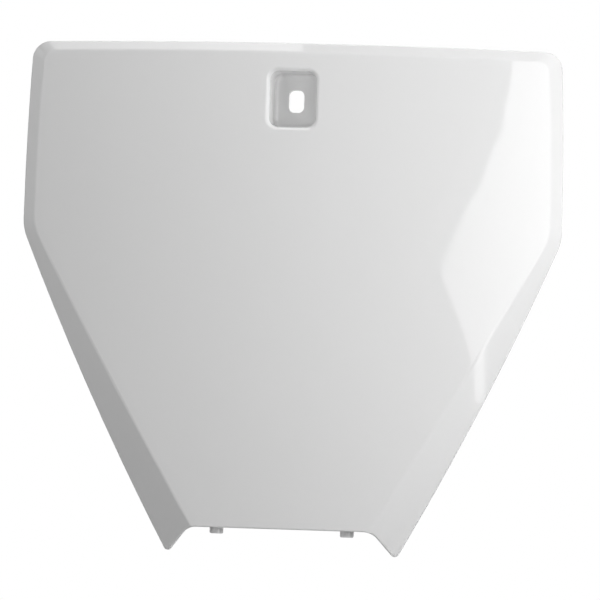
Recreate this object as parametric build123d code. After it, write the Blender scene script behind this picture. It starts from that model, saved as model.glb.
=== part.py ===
from build123d import *
import os
from math import cos, radians, sin, tan

# Front number board of an off-road racing motorcycle, moulded in one piece.
# Millimetres. It stands upright: X across the board, -Y the way its face looks, +Z up.
# The origin is the centre of the screw slot, on the rear of the recess floor.

# Outline seen from the front, measured to the corners before they are rounded
top_rise = 26.7                # middle of the top edge, above the screw
top_arch = 1.1                 # drop of the top corners below that middle
top_half_width = 126.6
widest_half_width = 128.9
widest_drop = 64.1             # widest corners, below the screw
side_bow = 0.6                 # bow of the upper sides
flank_bow = 2.5                # bow of the lower sides
bottom_drop = 204.1            # bottom edge, below the screw
bottom_half_width = 43.7
prong_length = 13.0            # prong tips, below the bottom edge
prong_splay = 10.9             # prong tips, out from the ends of the bottom edge
top_corner_radius = 9.0
widest_corner_radius = 22.0
notch_radius = 8.0
prong_tip_radius = 2.1

# Moulded wall: a face that is part of an upright cylinder, with sloping sides
wall = 2.5
face_radius = 960.0
slope_angle = 31.0             # slope of the rim and the flanks, from the board's own plane
rim_depth = 11.3               # rim of the sides, behind the middle of the face
top_slope_height = 4.6         # sloping rim along the top, seen from the front
top_slope_radius = 14.0        # between the top slope and the sides
widest_slope_radius = 34.0     # between the sides and the flanks, at the rim
crease_radius = 2.5            # between the face and the slopes
edge_radius = 0.8              # front edge of the rim, all round

# Recess for the head of the screw
recess_width = 22.2
recess_height = 26.9
recess_depth = 18.0
recess_corner_radius = 4.4
recess_draft = 2.4
recess_floor = 3.0
recess_floor_radius = 2.0
recess_lip_radius = 1.9
recess_wall = 2.2
slot_width = 7.4
slot_height = 10.7
slot_radius = 2.7

# Shelf behind the bottom edge, with the two pegs that locate the board
shelf_depth = 16.5             # behind the middle of the face
shelf_half_width = 48.0
shelf_thickness = 2.5
shelf_corner_radius = 5.0
peg_radius = 3.3
peg_length = 2.9
peg_half_spacing = 31.2
peg_depth = 12.0               # peg axis, behind the middle of the face
peg_chamfer = 0.5
gusset_thickness = 2.0
gusset_height = 12.0
gusset_setback = 2.0           # from the rear edge of the shelf

prong_half_spacing = bottom_half_width + prong_splay
prong_drop = bottom_drop + prong_length
board_height = top_rise + prong_drop
beyond = 3 * board_height      # reach of what only cuts, past everything it meets
face_y = -(recess_depth + recess_floor)
rim_y = face_y + rim_depth
slope = radians(slope_angle)


def mirrored(point):
    return (-point[0], point[1])


top_corner = (top_half_width, top_rise - top_arch)
widest_corner = (widest_half_width, -widest_drop)
notch_corner = (bottom_half_width, -bottom_drop)
prong_tip = (prong_half_spacing, -prong_drop)

# The long sides, clockwise seen from the front: from, to, bow
long_sides = [
    (top_corner, widest_corner, side_bow),
    (widest_corner, prong_tip, flank_bow),
    (mirrored(prong_tip), mirrored(widest_corner), flank_bow),
    (mirrored(widest_corner), mirrored(top_corner), side_bow),
]


def upright(y):
    """Plane across the board at depth y, seen from the front."""
    return Plane(origin=(0, y, 0), x_dir=(1, 0, 0), z_dir=(0, -1, 0))


def outline():
    """The board seen from the front, with its prongs, before its corners are rounded."""
    edges = [SagittaArc(start, end, bow) for start, end, bow in long_sides]
    edges.append(SagittaArc(mirrored(top_corner), top_corner, top_arch))
    edges.append(Polyline(prong_tip, notch_corner, mirrored(notch_corner), mirrored(prong_tip)))
    return make_face(edges)


def slope_section(ahead):
    """Section through the sloping sides, some way ahead of their rim: what their four discs share."""
    inward = ahead / tan(slope)
    section = None
    for start, end, bow in long_sides:
        arc = SagittaArc(start, end, bow)
        disc = Pos(arc.arc_center) * Circle(arc.radius - inward)
        section = disc if section is None else section & disc
    widest = (widest_corner, mirrored(widest_corner))
    corners = [section.vertices().sort_by_distance(corner)[0] for corner in widest]
    return fillet(corners, widest_slope_radius - inward)


def side_slopes():
    """All that lies behind the slopes of the sides and the flanks."""
    sections = []
    for ahead in (-rim_depth, rim_depth + wall):
        sections.append(upright(rim_y - ahead) * slope_section(ahead))
    return loft(sections, ruled=True)


def top_slope(inset):
    """All that lies behind the slope along the top: an inclined cylinder that follows the face round."""
    radius = 1 / (cos(slope) / face_radius + 2 * sin(slope) * top_arch / top_half_width**2)
    crease = Vector(0, face_y, top_rise - top_slope_height)
    outward = Vector(0, -cos(slope), sin(slope))
    along = Vector(0, sin(slope), cos(slope))
    axis = Plane(origin=crease - outward * radius, x_dir=(1, 0, 0), z_dir=along)
    return axis * Cylinder(radius - inset, beyond)


def envelope(inset):
    """All that lies behind the moulded surface, or behind its inner side."""
    body = Pos(0, inset / cos(slope), 0) * side_slopes() & top_slope(inset)
    for x, z in (top_corner, mirrored(top_corner)):
        edge = body.edges().sort_by_distance((x, rim_y, z))[0]
        body = fillet(edge, top_slope_radius - inset)
    return body & Pos(0, face_y + face_radius, 0) * Cylinder(face_radius - inset, beyond)


def front_face(body):
    return body.faces().sort_by(Axis.Y)[0]


def outer_form():
    """The board as a solid block: its outer surface, cut to the outline, with round edges."""
    rear_y = rim_y + rim_depth
    body = envelope(0)
    body = fillet(front_face(body).edges(), crease_radius)
    body = body & extrude(upright(rear_y) * outline(), amount=beyond)
    roundings = [
        (prong_tip, prong_tip_radius),
        (notch_corner, notch_radius),
        (widest_corner, widest_corner_radius),
        (top_corner, top_corner_radius),
    ]
    for corner, radius in roundings:
        for x, z in (corner, mirrored(corner)):
            edge = body.edges().filter_by(Axis.Y).sort_by_distance((x, rear_y, z))[0]
            body = fillet(edge, radius)
    bottom_edge = front_face(body).edges().sort_by(Axis.Z)[0]
    return fillet(bottom_edge, edge_radius)


def recess_prism(floor_y, depth, grow, corner_radius):
    """Tapered block from the recess floor towards the face."""
    narrowing = 2 * recess_depth * tan(radians(recess_draft))
    floor = RectangleRounded(
        recess_width - narrowing + 2 * grow,
        recess_height - narrowing + 2 * grow,
        corner_radius,
    )
    return extrude(upright(floor_y) * floor, amount=depth, taper=-recess_draft)


def add_recess(body):
    """The recess, with its floor behind the board, its rounded lip and the screw slot."""
    floor_radius = recess_corner_radius - recess_depth * tan(radians(recess_draft))
    housing_depth = recess_depth + recess_floor - wall / 2
    housing = recess_prism(0, housing_depth, recess_wall, floor_radius + recess_wall)
    pocket = recess_prism(-recess_floor, recess_depth + wall, 0, floor_radius)
    pocket = fillet(pocket.faces().sort_by(Axis.Y)[-1].edges(), recess_floor_radius)
    slot = upright(0) * RectangleRounded(slot_width, slot_height, slot_radius)
    body = body + housing - pocket - extrude(slot, amount=recess_floor)
    lip = front_face(body).inner_wires()[0].edges()
    return fillet(lip, recess_lip_radius)


def shelf():
    """Shelf along the bottom edge with its gussets, rooted in the middle of the wall."""
    shelf_y = face_y + shelf_depth
    plan = Pos(0, shelf_y - shelf_depth / 2) * Rectangle(2 * shelf_half_width, shelf_depth)
    plan = fillet(plan.vertices().group_by(Axis.Y)[-1], shelf_corner_radius)
    body = extrude(Pos(0, 0, -bottom_drop) * plan, amount=shelf_thickness)
    shelf_top = shelf_thickness - bottom_drop
    triangle = make_face(
        Polyline(
            (face_y, -bottom_drop),
            (shelf_y - gusset_setback, -bottom_drop),
            (shelf_y - gusset_setback, shelf_top),
            (face_y + wall, shelf_top + gusset_height),
            (face_y, shelf_top + gusset_height),
            close=True,
        )
    )
    for x in (-peg_half_spacing, 0, peg_half_spacing):
        body = body + extrude(Plane.YZ.offset(x) * triangle, amount=gusset_thickness / 2, both=True)
    return body & envelope(wall / 2)


def peg(x):
    """One locating peg, rooted in the shelf, with a chamfered tip."""
    root = shelf_thickness / 2
    stem = Cylinder(peg_radius, peg_length + root, align=(Align.CENTER, Align.CENTER, Align.MAX))
    stem = chamfer(stem.edges().group_by(Axis.Z)[0], peg_chamfer)
    return Pos(x, face_y + peg_depth, root - bottom_drop) * stem


def number_board():
    body = outer_form() - envelope(wall)
    body = add_recess(body)
    body = body + shelf()
    for x in (-peg_half_spacing, peg_half_spacing):
        body = body + peg(x)
    return body


os.makedirs("parts", exist_ok=True)
export_step(number_board(), "parts/number_board.step")
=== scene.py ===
from math import cos, radians, sin

import bpy
from mathutils import Matrix, Vector


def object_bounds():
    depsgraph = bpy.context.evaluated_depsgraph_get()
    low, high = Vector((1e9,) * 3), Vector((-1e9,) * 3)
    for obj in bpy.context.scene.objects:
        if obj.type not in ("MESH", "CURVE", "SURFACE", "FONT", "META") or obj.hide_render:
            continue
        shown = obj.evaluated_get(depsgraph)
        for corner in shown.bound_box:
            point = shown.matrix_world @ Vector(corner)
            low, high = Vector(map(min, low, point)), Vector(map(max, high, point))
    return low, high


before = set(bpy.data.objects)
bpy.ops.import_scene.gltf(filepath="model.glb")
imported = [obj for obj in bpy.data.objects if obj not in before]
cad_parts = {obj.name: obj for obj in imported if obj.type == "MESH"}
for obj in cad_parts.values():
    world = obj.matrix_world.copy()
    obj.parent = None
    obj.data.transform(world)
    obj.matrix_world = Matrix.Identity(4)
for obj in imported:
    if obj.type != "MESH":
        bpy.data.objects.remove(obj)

# A white gloss number board, held in the air by its screw over a pale studio floor.
# Metres and degrees. An azimuth of 0 looks along +Y at the face, and the viewer's right is positive.

cad_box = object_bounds()
lowest = cad_box[0]

# Camera, at the photograph's angle, in a square frame
FRAME_PIXELS = 600
SENSOR_WIDTH = 36.0                      # millimetres, across the frame
FOCAL_PIXELS = 5268.5
CAMERA_AZIMUTH = 6.344
CAMERA_ELEVATION = -1.95
CAMERA_ROLL = 1.797
CAMERA_DISTANCE = 2.5
AIM = Vector((0.006, -0.015, -0.0951))   # point of the board at the middle of the frame

# Floor, below the sight of the photograph's camera
FLOOR_DROP = 0.6                         # below the prong tips
FLOOR_RADIUS = 4.0
FLOOR_SIDES = 96
FLOOR_FADE_START = 0.6                   # the floor runs out into the white background
FLOOR_FADE_END = 2.4
FLOOR_WHITE = 0.55                       # share of white under the board
FLOOR_COLOUR = (0.8, 0.8, 0.8, 1)
FLOOR_ROUGHNESS = 0.9

# Light: soft boxes round the board, each facing it from its own direction, with their power in watts
SOFTBOXES = {
    "left_softbox": {"azimuth": -30, "elevation": 0, "distance": 0.9, "size": 0.3, "power": 1.56},
    "left_high_softbox": {"azimuth": -30, "elevation": 60, "distance": 0.5, "size": 0.3, "power": 0.39},
    "right_softbox": {"azimuth": 22, "elevation": 0, "distance": 0.45, "size": 0.3, "power": 0.52},
    "right_high_softbox": {"azimuth": 30, "elevation": 60, "distance": 0.5, "size": 0.3, "power": 0.12},
    "side_softbox": {"azimuth": 60, "elevation": 0, "distance": 0.5, "size": 0.3, "power": 1.18},
    "side_high_softbox": {"azimuth": 60, "elevation": 60, "distance": 0.5, "size": 0.3, "power": 0.65},
    "rear_softbox": {"azimuth": 165, "elevation": 15, "distance": 0.8, "size": 0.6, "power": 4.5},
}

# White and grey cards that only the gloss shows, each with its corners on one plane and its glow, where 1 is
# white; two values of glow run from one end of the card to the other.
FRONT_CARD_Y = -2.3                      # beside the camera, for the right of the face; corners x, z
FRONT_CARD = [
    (0.2125, 0.0154),
    (0.279, 0.06),
    (0.297, 0.0746),
    (0.333, 0.09),
    (0.369, 0.127),
    (0.407, 0.142),
    (0.408, 0.164),
    (0.43, 0.186),
    (0.447, 0.26),
    (0.62, 0.26),
    (0.62, -0.2),
    (0.345, -0.2),
    (0.311, -0.0676),
    (0.294, -0.0495),
    (0.2605, -0.0207),
    (0.245, -0.0135),
]
FRONT_CARD_GLOW = (2.33, 4.32)           # from its left to its right
GREY_CARD_Y = -2.4                       # behind that card, for the whole face; corners x, z
GREY_CARD = [(-1.3, -0.8), (0.9, -0.8), (0.9, 2.5), (-1.3, 2.5)]
GREY_CARD_GLOW = 0.15
RIGHT_CARD_Y = -0.6                      # for the right side; corners x, z
RIGHT_CARD = [
    (0.9, 0.4),
    (1.4, 0.4),
    (1.4, -0.63),
    (0.94, -0.63),
    (0.931, -0.5693),
    (0.916, -0.49),
    (0.9, -0.42),
]
RIGHT_CARD_GLOW = 0.85
# The bright left edge of that card
RIGHT_STRIP = [(0.9, -0.49), (0.916, -0.49), (0.931, -0.5693), (0.917, -0.5693)]
RIGHT_STRIP_GLOW = 4.1
CREASE_CARD = [                          # between that card and the one in front, for the crease
    (0.26, 0.3),
    (0.895, 0.4),
    (0.895, -0.51),
    (0.66, -0.375),
    (0.49, -0.285),
    (0.36, -0.215),
    (0.26, -0.155),
]
CREASE_CARD_GLOW = (4.6, 0.85)           # from its left to its right
CREASE_GREY_CARD = [                     # below it, for the lower end of the crease
    (0.2, -0.12),
    (0.26, -0.155),
    (0.36, -0.215),
    (0.49, -0.285),
    (0.66, -0.375),
    (0.82, -0.467),
    (0.77, -0.75),
    (0.2, -0.75),
]
CREASE_GREY_CARD_GLOW = 0.2
TOP_CARD_Z = 0.6                         # overhead, for the left half of the top slope; corners x, y
TOP_CARD = [(-0.4, -0.42), (-0.062, -0.42), (-0.062, -0.12), (-0.4, -0.12)]
TOP_CARD_GLOW = 3.5
# Beside it, for the right half
TOP_GREY_CARD = [(-0.062, -0.42), (0.5, -0.42), (0.5, -0.12), (-0.062, -0.12)]
TOP_GREY_CARD_GLOW = 0.4
# Level with both, for the lower lip of the recess
LIP_CARD = [(-0.3, -0.12), (0.3, -0.12), (0.3, 0.35), (-0.3, 0.35)]
LIP_CARD_GLOW = 4.0
LEFT_CARD_X = -0.9                       # for the left side; corners y, z
LEFT_CARD = [(-0.5, -0.55), (-0.13, -0.55), (-0.13, 0.4), (-0.5, 0.4)]
LEFT_CARD_GLOW = (0.75, 2.95)            # from its foot to its top
SIDE_CARD_X = 0.9                        # far to the right, for the left lip of the recess; corners y, z
SIDE_CARD = [(-0.2, -0.02), (0.05, -0.02), (0.05, 0.12), (-0.2, 0.12)]
SIDE_CARD_GLOW = 4.0

# White plastic
PLASTIC_COLOUR = (0.87, 0.87, 0.87)
PLASTIC_MOTTLE = 0.985                   # darker share of the faint flow mottling
MOTTLE_SCALE = 18.0                      # per metre, as are the other scales
MOTTLE_DETAIL = 3
PLASTIC_IOR = 1.49
POLISH = (0.015, 0.035)                  # roughness, from the best polished places to the dullest
POLISH_SCALE = 60.0
POLISH_DETAIL = 4
WAVE_SCALE = 14.0                        # slow waves that the mould leaves in the wall
WAVE_DETAIL = 0
WAVE_HEIGHT = 0.00002
PEEL_SCALE = 700.0                       # fine skin on the gloss
PEEL_DETAIL = 2
PEEL_HEIGHT = 0.00000015


def direction(azimuth, elevation):
    """Unit vector from the board towards a place in the studio."""
    a, e = radians(azimuth), radians(elevation)
    return Vector((sin(a) * cos(e), -cos(a) * cos(e), sin(e)))


def make_camera():
    data = bpy.data.cameras.new("photo_camera")
    data.sensor_width = SENSOR_WIDTH
    data.lens = FOCAL_PIXELS / FRAME_PIXELS * SENSOR_WIDTH
    camera = bpy.data.objects.new("photo_camera", data)
    bpy.context.scene.collection.objects.link(camera)
    back = direction(CAMERA_AZIMUTH, CAMERA_ELEVATION)
    level = (-back).to_track_quat("-Z", "Y").to_matrix().to_4x4()
    roll = Matrix.Rotation(radians(CAMERA_ROLL), 4, "Z")
    camera.matrix_world = Matrix.Translation(AIM + back * CAMERA_DISTANCE) @ level @ roll
    bpy.context.scene.camera = camera


def node(tree, kind, **values):
    """New shader node, with the given properties, and inputs given by name."""
    made = tree.nodes.new(kind)
    for name, value in values.items():
        if hasattr(made, name):
            setattr(made, name, value)
        else:
            made.inputs[name.replace("_", " ")].default_value = value
    return made


def noise(tree, place, scale, detail):
    """Noise at a scale given per metre, the same wherever the board is seen from."""
    made = node(tree, "ShaderNodeTexNoise", Scale=scale, Detail=detail)
    tree.links.new(place, made.inputs["Vector"])
    return made.outputs["Fac"]


def ramp(tree, factor, low, high):
    """Values from low to high, as the factor runs from 0 to 1."""
    made = node(tree, "ShaderNodeMapRange", To_Min=low, To_Max=high)
    tree.links.new(factor, made.inputs["Value"])
    return made.outputs["Result"]


def white_plastic():
    """Moulded polypropylene: nearly even white, high gloss, slow waves and a very fine skin."""
    material = bpy.data.materials.new("white_gloss_plastic")
    material.use_nodes = True
    tree = material.node_tree
    links = tree.links
    shader = tree.nodes["Principled BSDF"]
    shader.inputs["IOR"].default_value = PLASTIC_IOR
    place = node(tree, "ShaderNodeTexCoord").outputs["Object"]

    mottle = node(tree, "ShaderNodeMix", data_type="RGBA")
    mottle.inputs["A"].default_value = (*PLASTIC_COLOUR, 1)
    mottle.inputs["B"].default_value = (*[c * PLASTIC_MOTTLE for c in PLASTIC_COLOUR], 1)
    links.new(noise(tree, place, MOTTLE_SCALE, MOTTLE_DETAIL), mottle.inputs["Factor"])
    links.new(mottle.outputs["Result"], shader.inputs["Base Color"])

    polish = ramp(tree, noise(tree, place, POLISH_SCALE, POLISH_DETAIL), *POLISH)
    links.new(polish, shader.inputs["Roughness"])

    waves = node(tree, "ShaderNodeBump", Distance=WAVE_HEIGHT)
    links.new(noise(tree, place, WAVE_SCALE, WAVE_DETAIL), waves.inputs["Height"])
    peel = node(tree, "ShaderNodeBump", Distance=PEEL_HEIGHT)
    links.new(noise(tree, place, PEEL_SCALE, PEEL_DETAIL), peel.inputs["Height"])
    links.new(waves.outputs["Normal"], peel.inputs["Normal"])
    links.new(peel.outputs["Normal"], shader.inputs["Normal"])
    return material


def seen_directly(tree):
    """1 for rays from the camera, in mirrors and through glass, and 0 for the light that falls on things."""
    path = node(tree, "ShaderNodeLightPath")
    seen = path.outputs["Is Camera Ray"]
    for name in ("Is Glossy Ray", "Is Transmission Ray"):
        either = node(tree, "ShaderNodeMath", operation="MAXIMUM")
        tree.links.new(seen, either.inputs[0])
        tree.links.new(path.outputs[name], either.inputs[1])
        seen = either.outputs["Value"]
    return seen


def make_world():
    """White to look at, with no light of its own: the soft boxes light the board."""
    world = bpy.data.worlds.new("studio")
    bpy.context.scene.world = world
    world.use_nodes = True
    tree = world.node_tree
    background = tree.nodes["Background"]
    background.inputs["Color"].default_value = (1, 1, 1, 1)
    tree.links.new(seen_directly(tree), background.inputs["Strength"])


def make_floor():
    """Pale disc that keeps the board's shadow and runs out into the white background."""
    bpy.ops.mesh.primitive_circle_add(
        vertices=FLOOR_SIDES, radius=FLOOR_RADIUS, fill_type="NGON", location=(0, 0, lowest.z - FLOOR_DROP)
    )
    floor = bpy.context.object
    floor.name = "studio_floor"
    material = bpy.data.materials.new("studio_floor")
    material.use_nodes = True
    tree = material.node_tree
    links = tree.links
    pale = tree.nodes["Principled BSDF"]
    pale.inputs["Base Color"].default_value = FLOOR_COLOUR
    pale.inputs["Roughness"].default_value = FLOOR_ROUGHNESS
    white = node(tree, "ShaderNodeEmission", Strength=1.0)
    place = node(tree, "ShaderNodeTexCoord").outputs["Object"]
    length = node(tree, "ShaderNodeVectorMath", operation="LENGTH")
    links.new(place, length.inputs[0])
    fade = node(
        tree,
        "ShaderNodeMapRange",
        interpolation_type="SMOOTHSTEP",
        From_Min=FLOOR_FADE_START,
        From_Max=FLOOR_FADE_END,
        To_Min=FLOOR_WHITE,
    )
    links.new(length.outputs["Value"], fade.inputs["Value"])
    share = node(tree, "ShaderNodeMath", operation="MULTIPLY")
    links.new(fade.outputs["Result"], share.inputs[0])
    links.new(seen_directly(tree), share.inputs[1])
    mix = node(tree, "ShaderNodeMixShader")
    links.new(share.outputs["Value"], mix.inputs["Fac"])
    links.new(pale.outputs["BSDF"], mix.inputs[1])
    links.new(white.outputs["Emission"], mix.inputs[2])
    links.new(mix.outputs["Shader"], tree.nodes["Material Output"].inputs["Surface"])
    floor.data.materials.append(material)


def make_softbox(name, azimuth, elevation, distance, size, power):
    """Square studio light that faces the board."""
    data = bpy.data.lights.new(name, "AREA")
    data.shape = "SQUARE"
    data.size = size
    data.energy = power
    light = bpy.data.objects.new(name, data)
    bpy.context.scene.collection.objects.link(light)
    outward = direction(azimuth, elevation)
    light.matrix_world = (
        Matrix.Translation(AIM + outward * distance) @ outward.to_track_quat("Z", "Y").to_matrix().to_4x4()
    )
    light.visible_camera = False
    light.visible_glossy = False


def make_card(name, corners, glow, along="X"):
    """Flat card that only the gloss of the board shows; two values of glow run up along one axis."""
    mesh = bpy.data.meshes.new(name)
    mesh.from_pydata(corners, [], [range(len(corners))])
    card = bpy.data.objects.new(name, mesh)
    bpy.context.scene.collection.objects.link(card)
    material = bpy.data.materials.new(name)
    material.use_nodes = True
    tree = material.node_tree
    tree.nodes.remove(tree.nodes["Principled BSDF"])
    emission = node(tree, "ShaderNodeEmission")
    if isinstance(glow, tuple):
        place = node(tree, "ShaderNodeTexCoord").outputs["Generated"]
        split = node(tree, "ShaderNodeSeparateXYZ")
        tree.links.new(place, split.inputs["Vector"])
        tree.links.new(ramp(tree, split.outputs[along], *glow), emission.inputs["Strength"])
    else:
        emission.inputs["Strength"].default_value = glow
    tree.links.new(emission.outputs["Emission"], tree.nodes["Material Output"].inputs["Surface"])
    mesh.materials.append(material)
    card.visible_camera = False
    card.visible_diffuse = False
    card.visible_shadow = False


bpy.context.scene.view_settings.view_transform = "Standard"
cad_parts["number_board"].material_slots[0].material = white_plastic()
make_world()
make_floor()
for name, placing in SOFTBOXES.items():
    make_softbox(name, **placing)
make_card("front_card", [(x, FRONT_CARD_Y, z) for x, z in FRONT_CARD], FRONT_CARD_GLOW)
make_card("grey_card", [(x, GREY_CARD_Y, z) for x, z in GREY_CARD], GREY_CARD_GLOW)
make_card("right_card", [(x, RIGHT_CARD_Y, z) for x, z in RIGHT_CARD], RIGHT_CARD_GLOW)
make_card("right_strip", [(x, RIGHT_CARD_Y, z) for x, z in RIGHT_STRIP], RIGHT_STRIP_GLOW)
make_card("crease_card", [(x, RIGHT_CARD_Y, z) for x, z in CREASE_CARD], CREASE_CARD_GLOW)
make_card("crease_grey_card", [(x, RIGHT_CARD_Y, z) for x, z in CREASE_GREY_CARD], CREASE_GREY_CARD_GLOW)
make_card("top_card", [(x, y, TOP_CARD_Z) for x, y in TOP_CARD], TOP_CARD_GLOW)
make_card("top_grey_card", [(x, y, TOP_CARD_Z) for x, y in TOP_GREY_CARD], TOP_GREY_CARD_GLOW)
make_card("lip_card", [(x, y, TOP_CARD_Z) for x, y in LIP_CARD], LIP_CARD_GLOW)
make_card("left_card", [(LEFT_CARD_X, y, z) for y, z in LEFT_CARD], LEFT_CARD_GLOW, along="Z")
make_card("side_card", [(SIDE_CARD_X, y, z) for y, z in SIDE_CARD], SIDE_CARD_GLOW)
make_camera()
